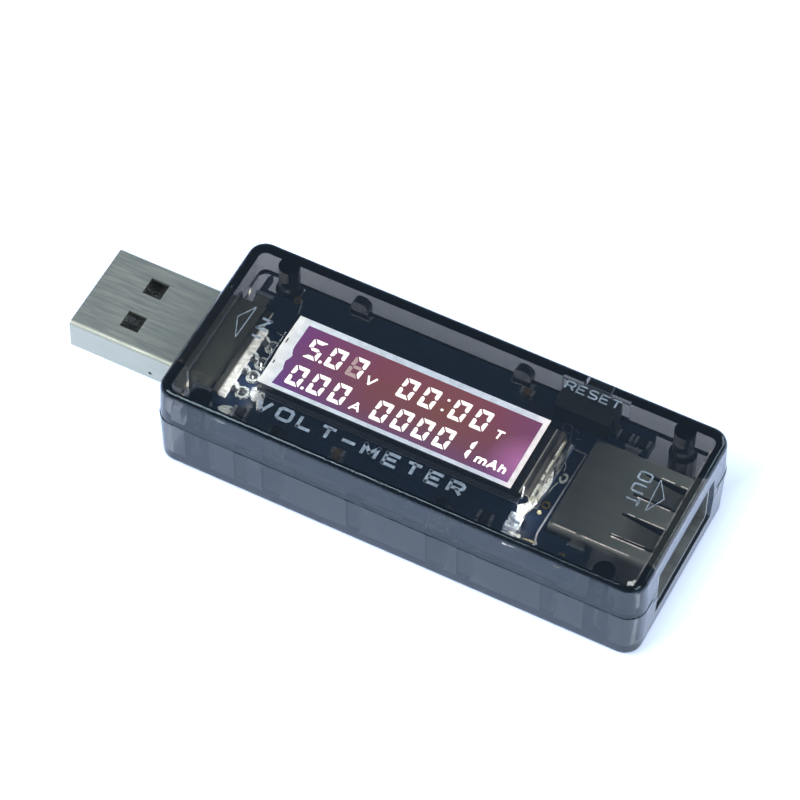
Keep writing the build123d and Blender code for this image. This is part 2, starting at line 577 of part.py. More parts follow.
with BuildPart() as chip_terminals:
    for size, top_places, under_places in TWO_TERMINAL.values():
        for place in top_places + under_places:
            x, y, z = chip_spans(size, place, place in under_places)
            block((x[0], x[0] + CAP_LENGTH), y, z)
            block((x[1] - CAP_LENGTH, x[1]), y, z)
save(chip_terminals, "chip_terminals")

for chip_name, (size, top_places, under_places) in TWO_TERMINAL.items():
    with BuildPart() as chips:
        for place in top_places + under_places:
            x, y, z = chip_spans(size, place, place in under_places)
            block((x[0] + CAP_LENGTH, x[1] - CAP_LENGTH), y, z)
    save(chips, chip_name)

for chip_name, (size, place, leads) in LEADED.items():
    with BuildPart() as chip:
        x, y, z = chip_spans(size, place, True)
        block(x, y, (z[0] - CHIP_LIFT, z[1] - CHIP_LIFT))
        chamfer(chip.faces().sort_by(Axis.Z)[0].edges(), 0.15)
    save(chip, chip_name)

with BuildPart() as chip_leads:
    for (length, width, height), (x, y), leads in LEADED.values():
        pitch = length / leads
        lead_x = [x + (number - (leads - 1) / 2) * pitch for number in range(leads)]
        middle_z = BOARD_BOTTOM - CHIP_LIFT - height / 2
        for side in (-1, 1):
            root = y + side * width / 2
            knee = root + side * LEAD_REACH / 2
            for centre_x in lead_x:
                span = around(centre_x, 0.4 * pitch)
                block(span, sorted((root, knee)), around(middle_z, LEAD_THICK))
                leg = sorted((knee - side * LEAD_THICK, knee))
                block(span, leg, (middle_z - LEAD_THICK / 2, BOARD_BOTTOM))
                foot = sorted((knee, root + side * LEAD_REACH))
                block(span, foot, (BOARD_BOTTOM - LEAD_THICK, BOARD_BOTTOM))
save(chip_leads, "chip_leads")

# A watch crystal lying on the underside, with its two wires.
CRYSTAL_RADIUS = 1.0
CRYSTAL_X = (1.5, 7.5)
CRYSTAL_Y = 7.9
WIRE = 0.3
with BuildPart() as timing_crystal:
    with BuildSketch(Plane((CRYSTAL_X[0], CRYSTAL_Y, BOARD_BOTTOM - CRYSTAL_RADIUS), z_dir=(1, 0, 0))):
        Circle(CRYSTAL_RADIUS)
    extrude(amount=CRYSTAL_X[1] - CRYSTAL_X[0])
    fillet(timing_crystal.faces().sort_by(Axis.X)[-1].edges(), 0.3)
    wire_end = CRYSTAL_X[0] - 1.8
    wire_z = BOARD_BOTTOM - CRYSTAL_RADIUS
    for y in (CRYSTAL_Y - 0.4, CRYSTAL_Y + 0.4):
        block((wire_end, CRYSTAL_X[0]), around(y, WIRE), around(wire_z, WIRE))
        block((wire_end, wire_end + WIRE), around(y, WIRE), (wire_z, BOARD_BOTTOM))
save(timing_crystal, "timing_crystal")
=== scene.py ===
"""Looks of the USB power meter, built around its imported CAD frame.

Lengths are in metres, except names that end in _MM and outlines of pieces, which are in millimetres.
"""

import math

import bmesh
import bpy
from mathutils import Matrix, Vector


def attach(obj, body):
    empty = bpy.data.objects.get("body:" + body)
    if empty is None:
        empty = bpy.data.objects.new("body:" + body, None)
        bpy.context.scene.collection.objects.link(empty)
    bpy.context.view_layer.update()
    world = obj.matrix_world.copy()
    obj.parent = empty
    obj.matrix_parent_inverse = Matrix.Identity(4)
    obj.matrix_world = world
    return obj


MM = 0.001

# ---- Camera, at the photograph's angle ----
CAMERA_AZIMUTH = 26.15
CAMERA_ELEVATION = 53.94
CAMERA_ROLL = 1.24
CAMERA_DISTANCE_MM = 463.88
CAMERA_TARGET_MM = (-8.86, 7.40, 0.0)
CAMERA_LENS = 185.02
SENSOR_WIDTH = 36.0

# ---- Floor: half its side, and how far under the case it lies ----
FLOOR_HALF = 1.2
FLOOR_DROP = 0.00002

# ---- Display and what is beside it, in millimetres ----
FILM_TOP_MM = 10.75
SEGMENT_THICK_MM = 0.02
DIGIT_WIDTH_MM = 1.78
DIGIT_HEIGHT_MM = 2.80
DIGIT_PEN_MM = 0.50
DIGIT_GAP_MM = 0.07
DIGIT_SLANT = 0.07
BORDER_LEFT_MM, BORDER_RIGHT_MM = -20.28, 10.66
BORDER_FRONT_MM, BORDER_BACK_MM = -4.95, 5.2
FILM_LEFT_MM, FILM_RIGHT_MM = -18.9, 10.05
FILM_SIDE_MM = 4.425
TAIL_SIDE_MM = 4.7
TAIL_START_MM, TAIL_REACH_MM = 13.0, 0.95
DOT_SIDES = 16
BOARD_TOP_MM = 8.5
SOCKET_TOP_MM = 9.45
FILM_CREST_MM = 9.9
UPPER_ROW_MM = 0.33
LOWER_ROW_MM = -3.73

# ---- Prints on the cover, in millimetres ----
COVER_TOP_MM = 12.8
INNER_EDGE_MM = 11.4
PRINT_DEPTH_MM = 0.012
PRINT_THICK_MM = 0.008

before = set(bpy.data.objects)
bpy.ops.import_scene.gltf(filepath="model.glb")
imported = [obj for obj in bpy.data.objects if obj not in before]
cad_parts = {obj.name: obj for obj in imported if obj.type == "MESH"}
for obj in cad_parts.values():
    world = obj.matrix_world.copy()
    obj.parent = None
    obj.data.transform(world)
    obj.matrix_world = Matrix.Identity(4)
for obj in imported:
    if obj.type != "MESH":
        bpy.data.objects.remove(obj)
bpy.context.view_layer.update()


# ---------------------------------------------------------------- mesh helpers
def new_piece(name, prisms, material, body="meter"):
    """A mesh piece from (bottom z, top z, outline) prisms in millimetres, riding on a body."""
    mesh = bpy.data.meshes.new(name)
    bm = bmesh.new()
    for low, high, outline in prisms:
        add_prism(bm, low, high, outline)
    bmesh.ops.recalc_face_normals(bm, faces=bm.faces)
    bm.to_mesh(mesh)
    bm.free()
    piece = bpy.data.objects.new(name, mesh)
    bpy.context.scene.collection.objects.link(piece)
    mesh.materials.append(material)
    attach(piece, body)


def add_prism(bm, low, high, outline):
    """A closed prism over a flat outline."""
    bottom = [bm.verts.new((x * MM, y * MM, low * MM)) for x, y in outline]
    top = [bm.verts.new((x * MM, y * MM, high * MM)) for x, y in outline]
    bm.faces.new(bottom[::-1])
    bm.faces.new(top)
    for i in range(len(outline)):
        j = (i + 1) % len(outline)
        bm.faces.new((bottom[i], bottom[j], top[j], top[i]))


def pen_end(place, own, other, half, outward):
    """The two corners of a pen line's end: mitred, or square and a little longer at a sharp turn."""
    normal = Vector((-own.y, own.x))
    if other is None or own.dot(other) < 0.3:
        end = place + own * (outward * half * (0.0 if other is None else 0.7))
        return tuple(end + normal * half), tuple(end - normal * half)
    mitre = (normal + Vector((-other.y, other.x))).normalized()
    reach = half / mitre.dot(normal)
    return tuple(place + mitre * reach), tuple(place - mitre * reach)


def stroke(points, width, closed=False):
    """The four-cornered outlines of a pen line."""
    places = [Vector(p) for p in points]
    if closed:
        places.append(places[0])
    ways = [(b - a).normalized() for a, b in zip(places, places[1:])]
    last = len(ways) - 1
    quads = []
    for i, way in enumerate(ways):
        before = ways[i - 1] if (i > 0 or closed) else None
        after = ways[0 if i == last else i + 1] if (i < last or closed) else None
        start = pen_end(places[i], way, before, width / 2, -1)
        end = pen_end(places[i + 1], way, after, width / 2, 1)
        quads.append([start[0], start[1], end[1], end[0]])
    return quads


def pen_prisms(lines, low, high):
    """Prisms of open pen lines, from (points, width) pairs."""
    return [(low, high, quad) for points, width in lines for quad in stroke(points, width)]


GLYPHS = {
    "A": [[(0, 0), (0.5, 1), (1, 0)], [(0.2, 0.36), (0.8, 0.36)]],
    "E": [[(1, 1), (0, 1), (0, 0), (1, 0)], [(0, 0.52), (0.85, 0.52)]],
    "I": [[(0.5, 0), (0.5, 1)]],
    "L": [[(0, 1), (0, 0), (1, 0)]],
    "M": [[(0, 0), (0, 1), (0.5, 0.35), (1, 1), (1, 0)]],
    "N": [[(0, 0), (0, 1), (1, 0), (1, 1)]],
    "O": [[(0.16, 0), (0, 0.16), (0, 0.84), (0.16, 1), (0.84, 1), (1, 0.84), (1, 0.16), (0.84, 0),
           (0.16, 0)]],
    "R": [[(0, 0), (0, 1), (0.82, 1), (1, 0.84), (1, 0.62), (0.82, 0.46), (0, 0.46)], [(0.5, 0.46), (1, 0)]],
    "S": [[(1, 0.86), (0.84, 1), (0.16, 1), (0, 0.86), (0, 0.66), (0.16, 0.54), (0.84, 0.46), (1, 0.34),
           (1, 0.14), (0.84, 0), (0.16, 0), (0, 0.14)]],
    "T": [[(0, 1), (1, 1)], [(0.5, 1), (0.5, 0)]],
    "U": [[(0, 1), (0, 0.16), (0.16, 0), (0.84, 0), (1, 0.16), (1, 1)]],
    "V": [[(0, 1), (0.5, 0), (1, 1)]],
    "-": [[(0, 0.5), (1, 0.5)]],
    "h": [[(0, 0), (0, 1)], [(0, 0.5), (0.3, 0.68), (0.75, 0.68), (1, 0.5), (1, 0)]],
    "m": [[(0, 0), (0, 0.68)], [(0, 0.55), (0.15, 0.68), (0.35, 0.68), (0.5, 0.55), (0.5, 0)],
          [(0.5, 0.55), (0.65, 0.68), (0.85, 0.68), (1, 0.55), (1, 0)]],
}


def lettering(places, height, pen, low, high, turn=0.0, slant=0.0):
    """Prisms of pen-stroke letters, from (letter, x, y, width) with x, y the lower left corner."""
    prisms = []
    cosine, sine = math.cos(turn), math.sin(turn)
    for letter, x, y, width in places:
        inset = pen / 2
        for path in GLYPHS[letter]:
            points = []
            for u, v in path:
                along = inset + u * (width - pen) + slant * v * height
                up = inset + v * (height - pen)
                points.append((x + along * cosine - up * sine, y + along * sine + up * cosine))
            prisms += [(low, high, quad) for quad in stroke(points, pen)]
    return prisms


def row_of(text, x, y, width, pitch):
    """Letter places along a level line at an even pitch."""
    return [(letter, x + i * pitch, y, width) for i, letter in enumerate(text)]


# Segments of each figure: a at the top, then clockwise to f, and g in the middle.
SEGMENTS_OF = {"0": "abcdef", "1": "bc", "5": "acdfg", "7": "abc", "o": "defg"}


def segment_outline(name):
    """The outline of one segment of a figure: full at the outer edge, tapered towards the inside."""
    width, height, pen, gap = DIGIT_WIDTH_MM, DIGIT_HEIGHT_MM, DIGIT_PEN_MM, DIGIT_GAP_MM
    middle = height / 2
    flat = [(0.16 + gap, height), (width - 0.1 - gap, height), (width - gap * 1.4, height - 0.08),
            (width - pen - gap, height - pen), (pen + gap * 2.2, height - pen)]
    upright = [(0.02, height - 0.18), (0.1, height - 0.06), (pen, height - pen - gap),
               (pen * 0.92, middle + 0.30), (pen * 0.45, middle + gap), (0.0, middle + 0.16)]
    bar = [(pen * 0.55 + gap, middle), (pen * 0.95 + gap, middle + pen * 0.42),
           (width - pen - gap, middle + pen * 0.42), (width - pen * 0.55 - gap, middle),
           (width - pen - gap, middle - pen * 0.42), (pen * 0.95 + gap, middle - pen * 0.42)]
    return {
        "a": flat,
        "b": [(width - x, y) for x, y in upright[::-1]],
        "c": [(width - x, height - y) for x, y in upright],
        "d": [(width - x, height - y) for x, y in flat],
        "e": [(x, height - y) for x, y in upright[::-1]],
        "f": upright,
        "g": bar,
    }[name]


def digits(text, x, y, pitch, low, high):
    """Prisms of a run of seven-segment digits; a dot takes no room of its own."""
    prisms = []
    place = 0
    for letter in text:
        left = x + place * pitch
        if letter == ".":
            dot = circle(left - pitch + DIGIT_WIDTH_MM + 0.42, y + 0.2, 0.2, 0.2, DOT_SIDES)
            prisms.append((low, high, dot))
            continue
        for name in SEGMENTS_OF.get(letter, ""):
            outline = [(left + u + DIGIT_SLANT * v, y + v) for u, v in segment_outline(name)]
            prisms.append((low, high, outline))
        place += 1
    return prisms


def circle(x, y, half_x, half_y, sides=18):
    """Points round an oval."""
    turns = [math.tau * i / sides for i in range(sides)]
    return [(x + half_x * math.cos(t), y + half_y * math.sin(t)) for t in turns]


# ---------------------------------------------------------------- material helpers
def new_material(name):
    """A material and its principled shader."""
    material = bpy.data.materials.new(name)
    material.use_nodes = True
    return material, material.node_tree, material.node_tree.nodes["Principled BSDF"]


def own_axes(tree):
    """The object's own coordinates, split into X, Y and Z."""
    coordinates = tree.nodes.new("ShaderNodeTexCoord")
    split = tree.nodes.new("ShaderNodeSeparateXYZ")
    tree.links.new(coordinates.outputs["Object"], split.inputs["Vector"])
    return split


def noise(tree, size, detail=4.0, stretch=(1.0, 1.0, 1.0)):
    """Noise from 0 to 1 whose blotches are about that size, in metres."""
    coordinates = tree.nodes.new("ShaderNodeTexCoord")
    mapping = tree.nodes.new("ShaderNodeMapping")
    mapping.inputs["Scale"].default_value = [s / size for s in stretch]
    texture = tree.nodes.new("ShaderNodeTexNoise")
    texture.inputs["Scale"].default_value = 1.0
    texture.inputs["Detail"].default_value = detail
    tree.links.new(coordinates.outputs["Object"], mapping.inputs["Vector"])
    tree.links.new(mapping.outputs["Vector"], texture.inputs["Vector"])
    return texture.outputs["Fac"]


def spread(tree, value, low, high, start=0.3, end=0.7):
    """value from start..end carried onto low..high."""
    node = tree.nodes.new("ShaderNodeMapRange")
    node.inputs["From Min"].default_value = start
    node.inputs["From Max"].default_value = end
    node.inputs["To Min"].default_value = low
    node.inputs["To Max"].default_value = high
    tree.links.new(value, node.inputs["Value"])
    return node.outputs["Result"]


def ramp(tree, value, stops):
    """A colour ramp through (place, colour) stops."""
    node = tree.nodes.new("ShaderNodeValToRGB")
    while len(node.color_ramp.elements) < len(stops):
        node.color_ramp.elements.new(0.5)
    for element, (place, colour) in zip(node.color_ramp.elements, stops):
        element.position = place
        element.color = (*colour, 1.0)
    tree.links.new(value, node.inputs["Fac"])
    return node.outputs["Color"]


def combine(tree, operation, a, b):
    """Arithmetic between two values."""
    node = tree.nodes.new("ShaderNodeMath")
    node.operation = operation
    tree.links.new(a, node.inputs[0])
    tree.links.new(b, node.inputs[1])
    return node.outputs["Value"]


def colour_mix(tree):
    """A node that mixes colour A with colour B."""
    node = tree.nodes.new("ShaderNodeMix")
    node.data_type = "RGBA"
    return node


def bump(tree, shader, height, distance):
    """Small relief on the shader's normal."""
    node = tree.nodes.new("ShaderNodeBump")
    node.inputs["Distance"].default_value = distance
    node.inputs["Strength"].default_value = 1.0
    tree.links.new(height, node.inputs["Height"])
    tree.links.new(node.outputs["Normal"], shader.inputs["Normal"])


def shade(colour, amount):
    """A colour made lighter or darker by a share."""
    return tuple(min(1.0, c * amount) for c in colour)


def solid(name, colour, roughness, grain=0.6 * MM, metallic=0.0, relief=4e-6, drift=0.25, stretch=(1, 1, 1)):
    """An opaque finish whose colour, roughness and relief drift over a grain."""
    material, tree, shader = new_material(name)
    value = noise(tree, grain, 6.0, stretch)
    tone = ramp(tree, value, [(0.3, shade(colour, 1 - drift)), (0.7, shade(colour, 1 + drift))])
    tree.links.new(tone, shader.inputs["Base Color"])
    worn = spread(tree, value, roughness * 0.8, min(1.0, roughness * 1.25))
    tree.links.new(worn, shader.inputs["Roughness"])
    shader.inputs["Metallic"].default_value = metallic
    bump(tree, shader, noise(tree, grain * 0.3, 3.0, stretch), relief)
    return material


def lit(name, colour, strength, grain=1.5 * MM, drift=0.06):
    """A finish that glows; drift says how far its blotches fall short of the colour."""
    material, tree, shader = new_material(name)
    value = noise(tree, grain, 3.0)
    tone = ramp(tree, value, [(0.3, shade(colour, 1 - drift)), (0.7, colour)])
    tree.links.new(tone, shader.inputs["Base Color"])
    tree.links.new(tone, shader.inputs["Emission Color"])
    shader.inputs["Emission Strength"].default_value = strength
    shader.inputs["Roughness"].default_value = 0.35
    return material


# ---------------------------------------------------------------- materials
def smoke_plastic(name):
    """Clear moulded plastic with a smoke tint all through it, a little duller where it was handled."""
    material, tree, shader = new_material(name)
    shader.inputs["Base Color"].default_value = (0.97, 0.98, 1.0, 1.0)
    shader.inputs["Transmission Weight"].default_value = 1.0
    shader.inputs["IOR"].default_value = 1.5
    shader.inputs["Specular Tint"].default_value = (0.70, 0.88, 1.0, 1.0)
    smudge = noise(tree, 6 * MM, 5.0)
    tree.links.new(spread(tree, smudge, 0.0, 0.05), shader.inputs["Roughness"])
    bump(tree, shader, noise(tree, 2.5 * MM, 3.0), 3e-6)
    absorb = tree.nodes.new("ShaderNodeVolumeAbsorption")
    absorb.inputs["Color"].default_value = (0.12, 0.08, 0.0, 1.0)
    absorb.inputs["Density"].default_value = 690.0
    tree.links.new(absorb.outputs["Volume"], tree.nodes["Material Output"].inputs["Volume"])
    return material


def lit_polariser():
    """The display's background: violet at the left, red-brown across the middle, pink at the right end."""
    material, tree, shader = new_material("lit_polariser")
    split = own_axes(tree)
    along = spread(tree, split.outputs["X"], 0.0, 1.0, FILM_LEFT_MM * MM, FILM_RIGHT_MM * MM)
    across = spread(tree, split.outputs["Y"], 0.0, 1.0, -4.4 * MM, 4.4 * MM)
    cloud = noise(tree, 9 * MM, 1.0)
    place = tree.nodes.new("ShaderNodeMath")
    place.operation = "MULTIPLY_ADD"
    tree.links.new(cloud, place.inputs[0])
    place.inputs[1].default_value = 0.5
    tree.links.new(across, place.inputs[2])
    height = ramp(tree, place.outputs["Value"], [
        (0.18, (0.100, 0.060, 0.260)), (0.50, (0.150, 0.060, 0.130)), (0.85, (0.190, 0.058, 0.075)),
        (1.0, (0.200, 0.050, 0.110))])
    length = ramp(tree, along, [
        (0.0, (0.120, 0.045, 0.270)), (0.12, (0.150, 0.050, 0.180)), (0.35, (0.170, 0.060, 0.075)),
        (0.66, (0.180, 0.072, 0.048)), (0.84, (0.170, 0.060, 0.085)), (1.0, (0.150, 0.060, 0.170))])
    mix = colour_mix(tree)
    mix.inputs["Factor"].default_value = 0.55
    tree.links.new(height, mix.inputs["A"])
    tree.links.new(length, mix.inputs["B"])
    # A pink glow where the backlight enters, near the middle of the right end.
    reach = tree.nodes.new("ShaderNodeVectorMath")
    reach.operation = "DISTANCE"
    tree.links.new(split.inputs["Vector"].links[0].from_socket, reach.inputs[0])
    reach.inputs[1].default_value = (10.4 * MM, -1.6 * MM, FILM_TOP_MM * MM)
    near = spread(tree, reach.outputs["Value"], 0.85, 0.0, 0.0, 4.2 * MM)
    glow = colour_mix(tree)
    tree.links.new(near, glow.inputs["Factor"])
    tree.links.new(mix.outputs["Result"], glow.inputs["A"])
    glow.inputs["B"].default_value = (0.46, 0.17, 0.44, 1.0)
    tree.links.new(glow.outputs["Result"], shader.inputs["Emission Color"])
    shader.inputs["Emission Strength"].default_value = 2.7
    shader.inputs["Base Color"].default_value = (0.01, 0.008, 0.01, 1.0)
    shader.inputs["Roughness"].default_value = 0.25
    bump(tree, shader, noise(tree, 0.5 * MM, 2.0), 1e-6)
    return material


def board_mask_and_painted_glow():
    """Dark blue solder mask over the faint relief of copper tracks, with a faint painted blue glow."""
    material, tree, shader = new_material("board_mask")
    coordinates = tree.nodes.new("ShaderNodeTexCoord")
    tracks = tree.nodes.new("ShaderNodeTexBrick")
    tracks.inputs["Scale"].default_value = 1 / (3 * MM)
    tracks.inputs["Mortar Size"].default_value = 0.02
    tracks.inputs["Brick Width"].default_value = 0.9
    tracks.inputs["Row Height"].default_value = 0.35
    tracks.inputs["Color1"].default_value = (0.007, 0.015, 0.040, 1.0)
    tracks.inputs["Color2"].default_value = (0.010, 0.021, 0.054, 1.0)
    tracks.inputs["Mortar"].default_value = (0.004, 0.008, 0.022, 1.0)
    tree.links.new(coordinates.outputs["Object"], tracks.inputs["Vector"])
    tree.links.new(tracks.outputs["Color"], shader.inputs["Base Color"])
    # Painted light: a faint blotchy blue glow on the mask, standing in for light that falls on the board.
    shader.inputs["Emission Color"].default_value = (0.0, 0.25, 1.0, 1.0)
    tree.links.new(spread(tree, noise(tree, 5 * MM), 0.010, 0.025), shader.inputs["Emission Strength"])
    tree.links.new(spread(tree, noise(tree, 4 * MM), 0.28, 0.36), shader.inputs["Roughness"])
    bump(tree, shader, tracks.outputs["Fac"], 8e-6)
    return material


def flex_film_with_painted_light():
    """Shiny clear film in bands across its bonded edge and its bend, the light ones painted highlights, with
    a painted glow from below towards the front.
    """
    material, tree, shader = new_material("flex_film")
    split = own_axes(tree)
    along = spread(tree, split.outputs["X"], 0.0, 1.0, 10.8 * MM, 13.8 * MM)
    # Bands across the film: dark over the bonded edge, light ones painted highlights of the bend; they also
    # colour the painted glow.
    bands_and_highlights = ramp(tree, along, [
        (0.00, (0.004, 0.004, 0.004)), (0.23, (0.006, 0.006, 0.007)), (0.27, (0.36, 0.37, 0.36)),
        (0.31, (0.05, 0.050, 0.050)), (0.44, (0.022, 0.023, 0.025)), (0.54, (0.09, 0.085, 0.085)),
        (0.66, (0.05, 0.048, 0.045)), (0.72, (0.62, 0.64, 0.45)), (0.80, (0.95, 0.97, 0.82)),
        (0.90, (0.20, 0.22, 0.25)), (1.00, (0.05, 0.07, 0.13))])
    tree.links.new(bands_and_highlights, shader.inputs["Base Color"])
    tree.links.new(bands_and_highlights, shader.inputs["Emission Color"])
    # Painted glow from below, stronger towards the front and in streaks.
    forward = spread(tree, split.outputs["Y"], 0.8, 1.9, 4.5 * MM, -4.5 * MM)
    streak = noise(tree, 1.6 * MM, 3.0, (3.0, 0.4, 1.0))
    glow = combine(tree, "MULTIPLY", forward, spread(tree, streak, 0.4, 2.2))
    tree.links.new(glow, shader.inputs["Emission Strength"])
    shader.inputs["Metallic"].default_value = 0.5
    shader.inputs["Roughness"].default_value = 0.14
    shader.inputs["Coat Weight"].default_value = 1.0
    bump(tree, shader, noise(tree, 2.2 * MM, 1.0), 60e-6)
    return material


def crinkled_film():
    """Folded clear film with painted hard white streaks of backlight on it."""
    material, tree, shader = new_material("crinkled_film")
    split = own_axes(tree)
    streak = noise(tree, 1.5 * MM, 4.0, (2.2, 0.45, 1.0))
    # Painted reflections: the streaks glow, more strongly towards the front.
    tone = ramp(tree, streak, [
        (0.40, (0.010, 0.014, 0.035)), (0.50, (0.06, 0.065, 0.09)), (0.56, (0.80, 0.82, 0.72)),
        (0.60, (0.95, 0.96, 0.92)), (0.66, (0.08, 0.09, 0.15))])
    tree.links.new(tone, shader.inputs["Emission Color"])
    forward = spread(tree, split.outputs["Y"], 0.25, 1.6, 2.0 * MM, -5.0 * MM)
    tree.links.new(forward, shader.inputs["Emission Strength"])
    shader.inputs["Base Color"].default_value = (0.25, 0.27, 0.3, 1.0)
    shader.inputs["Metallic"].default_value = 0.8
    shader.inputs["Roughness"].default_value = 0.12
    bump(tree, shader, streak, 120e-6)
    return material


def patchy_glow(name, colour, strength, grain, least=0.15):
    """Painted light in patches: a glow that stands in for light caught by glue, joints, film, metal and the
    cover's edges.
    """
    material, tree, shader = new_material(name)
    value = noise(tree, grain, 5.0)
    tone = ramp(tree, value, [
        (0.36, shade(colour, 0.22)), (0.47, colour), (0.56, shade(colour, 0.45)), (0.66, colour)])
    tree.links.new(tone, shader.inputs["Base Color"])
    tree.links.new(tone, shader.inputs["Emission Color"])
    level = spread(tree, value, least * strength, strength, 0.38, 0.58)
    tree.links.new(level, shader.inputs["Emission Strength"])
    shader.inputs["Roughness"].default_value = 0.25
    bump(tree, shader, noise(tree, 0.4 * grain, 3.0), 20e-6)
    return material


def backlit_border():
    """The strip of backlight that shows round the film: bluish white, brightest at the two ends."""
    material, tree, shader = new_material("backlit_border")
    split = own_axes(tree)
    along = spread(tree, split.outputs["X"], 0.0, 1.0, -20.3 * MM, 10.7 * MM)
    tone = ramp(tree, along, [
        (0.0, (0.90, 0.96, 1.0)), (0.06, (0.72, 0.84, 0.98)), (0.5, (0.56, 0.68, 0.86)),
        (0.94, (0.66, 0.74, 0.92)), (1.0, (0.98, 0.95, 1.0))])
    tree.links.new(tone, shader.inputs["Emission Color"])
    cloud = noise(tree, 0.8 * MM, 4.0)
    tree.links.new(spread(tree, cloud, 1.9, 2.7), shader.inputs["Emission Strength"])
    shader.inputs["Base Color"].default_value = (0.7, 0.72, 0.75, 1.0)
    shader.inputs["Roughness"].default_value = 0.3
    return material


def leaking_plastic():
    """White moulded plastic: painted dark shade beside the shell, and painted light in patches along its
    inner edge.
    """
    material, tree, shader = new_material("white_plastic_bar")
    split = own_axes(tree)
    # Painted shade darkens the outer part beside the shell; painted light glows in patches along the inner
    # part.
    inner = spread(tree, split.outputs["X"], 0.0, 1.0, -24.1 * MM, -23.8 * MM)
    tone = ramp(tree, inner, [(0.0, (0.10, 0.10, 0.09)), (1.0, (0.76, 0.78, 0.78))])
    tree.links.new(tone, shader.inputs["Base Color"])
    patch = spread(tree, noise(tree, 0.6 * MM, 4.0), 0.3, 1.9)
    tree.links.new(combine(tree, "MULTIPLY", inner, patch), shader.inputs["Emission Strength"])
    shader.inputs["Emission Color"].default_value = (0.92, 0.97, 0.95, 1.0)
    shader.inputs["Roughness"].default_value = 0.45
    bump(tree, shader, noise(tree, 0.3 * MM, 3.0), 6e-6)
    return material


def socket_steel():
    """Rolled steel of the socket, duller below its upper face where no light reaches."""
    material = solid("socket_steel", (0.60, 0.62, 0.58), 0.5, 0.9 * MM, 1.0, 2e-6, 0.08, (0.12, 1, 1))
    tree = material.node_tree
    shader = tree.nodes["Principled BSDF"]
    split = own_axes(tree)
    share = spread(tree, split.outputs["Z"], 0.55, 1.0, 8.6 * MM, 9.3 * MM)
    mix = colour_mix(tree)
    mix.inputs["A"].default_value = (0.05, 0.045, 0.035, 1.0)
    tree.links.new(share, mix.inputs["Factor"])
    tree.links.new(shader.inputs["Base Color"].links[0].from_socket, mix.inputs["B"])
    tree.links.new(mix.outputs["Result"], shader.inputs["Base Color"])
    # The upper face picks up the daylight that comes through the cover near the mouth.
    daylight = spread(tree, split.outputs["X"], 0.0, 0.13, 17 * MM, 26 * MM)
    upper = spread(tree, split.outputs["Z"], 0.0, 1.0, 9.2 * MM, 9.4 * MM)
    tree.links.new(combine(tree, "MULTIPLY", daylight, upper), shader.inputs["Emission Strength"])
    shader.inputs["Emission Color"].default_value = (0.80, 0.96, 0.95, 1.0)
    return material


def paint_nodes():
    """Give every CAD node its finish."""
    smoke = smoke_plastic("smoke_plastic")
    steel = solid("plug_steel", (0.46, 0.46, 0.38), 0.52, 0.3 * MM, 1.0, 0.5e-6, 0.04, (0.08, 1, 1))
    solder = solid("solder", (0.80, 0.81, 0.82), 0.22, 0.5 * MM, 1.0, 14e-6, 0.15)
    gold = solid("gold_plate", (0.75, 0.52, 0.16), 0.3, 0.5 * MM, 1.0)
    white = solid("white_plastic", (0.78, 0.79, 0.80), 0.45, 0.8 * MM, 0.0, 3e-6, 0.05)
    black = solid("black_plastic", (0.016, 0.016, 0.018), 0.4, 0.5 * MM)
    contact = solid("contact_metal", (0.72, 0.62, 0.40), 0.28, 0.6 * MM, 1.0)
    chip = solid("chip_moulding", (0.018, 0.018, 0.02), 0.55, 0.3 * MM)
    tin = solid("tin_plate", (0.7, 0.71, 0.72), 0.3, 0.4 * MM, 1.0)
    glow = lit("lit_guide", (0.05, 0.06, 0.08), 0.3)
    glass = solid("display_glass", (0.012, 0.014, 0.018), 0.08, 1.0 * MM, 0.0, 1e-6, 0.3)
    finishes = {
        "top_cover": smoke, "bottom_cover": smoke, "circuit_board": board_mask_and_painted_glow(), "via_rings": gold,
        "plug_shell": steel, "plug_insulator": leaking_plastic(), "plug_contacts": tin, "plug_joints": solder,
        "socket_shell": socket_steel(), "socket_insulator": black,
        "socket_contacts": contact, "socket_joints": solder,
        "backlight_reflector": white, "light_guide": glow, "rear_polariser": glow, "rear_glass": glass,
        "front_glass": glass, "front_polariser": lit_polariser(), "glass_seal": glass,
        "display_flex": flex_film_with_painted_light(),
        "backlight_leds": lit("led_package", (0.55, 0.66, 0.80), 1.3, 0.5 * MM, 0.7),
        "switch_body": black, "switch_knob": black, "switch_dome": tin,
        "switch_plate": solid("switch_steel", (0.16, 0.17, 0.18), 0.5, 0.8 * MM, 0.6, 2e-6, 0.12),
        "chip_terminals": tin, "chip_leads": tin, "shunt_resistor": chip,
        "chip_resistors": solid("resistor_ceramic", (0.02, 0.02, 0.023), 0.4, 0.3 * MM),
        "chip_capacitors": solid("capacitor_ceramic", (0.34, 0.22, 0.12), 0.45, 0.3 * MM),
        "reservoir_capacitor": solid("tantalum_case", (0.55, 0.36, 0.05), 0.4, 0.4 * MM),
        "controller_chip": chip, "metering_chip": chip, "memory_chip": chip, "voltage_regulator": chip,
        "timing_crystal": solid("can_metal", (0.7, 0.71, 0.73), 0.25, 0.5 * MM, 1.0),
    }
    for name, finish in finishes.items():
        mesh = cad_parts[name].data
        mesh.materials.clear()
        mesh.materials.append(finish)


